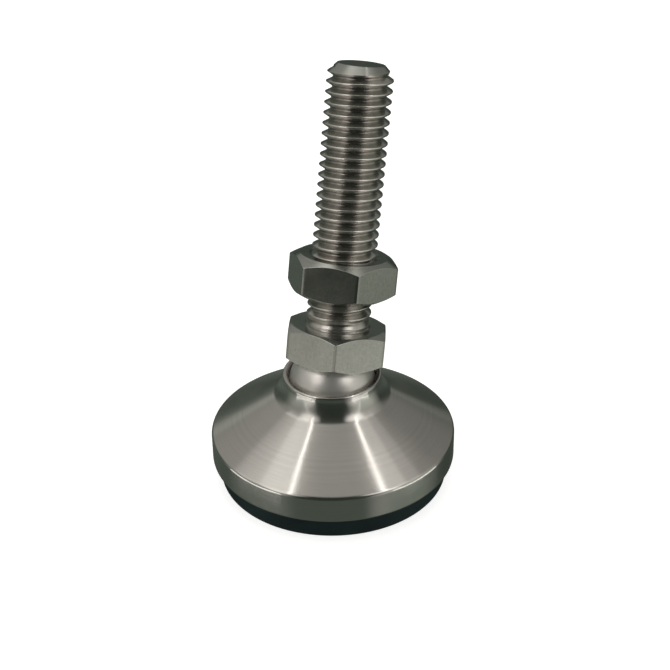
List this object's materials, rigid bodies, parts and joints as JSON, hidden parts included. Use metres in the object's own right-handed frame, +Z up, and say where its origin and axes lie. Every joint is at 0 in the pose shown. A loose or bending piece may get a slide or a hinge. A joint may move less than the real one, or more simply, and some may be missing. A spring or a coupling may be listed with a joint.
{
  "type": "swivel leveling foot",
  "caption": "Swivel leveling foot: a ball-ended threaded stud with wrench flats and a jam nut, held in a turned conical steel base on a rubber pad.",
  "frame": {"origin": "centre of the rubber pad's underside, where the foot stands", "axes": "+Z up along the base's turning axis; the stud leans 13.4 degrees away from +Z, mostly towards +Y and a little towards +X"},
  "size_m": [0.049, 0.0488, 0.0825],
  "materials": {
    "turned_steel": "fine turned stainless steel, satin",
    "rubber": "matte black moulded rubber",
    "spring_wire": "drawn spring wire",
    "stud_steel": "machined stainless steel with a rolled thread",
    "nut_steel": "machined stainless steel, satin flats"
  },
  "bodies": {
    "foot": {"base": "turned_steel", "rubber_pad": "rubber"},
    "snap_ring": {"retaining_ring": "spring_wire"},
    "stud": {"ball_stud": "stud_steel"},
    "nut": {"jam_nut": "nut_steel"}
  },
  "joints": [
    {"name": "swivel", "type": "hinge", "parent": "foot", "child": "snap_ring", "pos_m": [0, 0, 0.02], "axis": [0, 0, 1], "continuous": true},
    {"name": "tilt", "type": "hinge", "parent": "snap_ring", "child": "stud", "pos_m": [0, 0, 0.02], "axis": [-0.9022, 0.4313, 0], "range_deg": [-29.4, 2.6]},
    {"name": "nut_travel", "type": "slide", "parent": "stud", "child": "nut", "axis": [0.1, 0.2091, 0.9728], "range_m": [-0.0063, 0.036]}
  ]
}
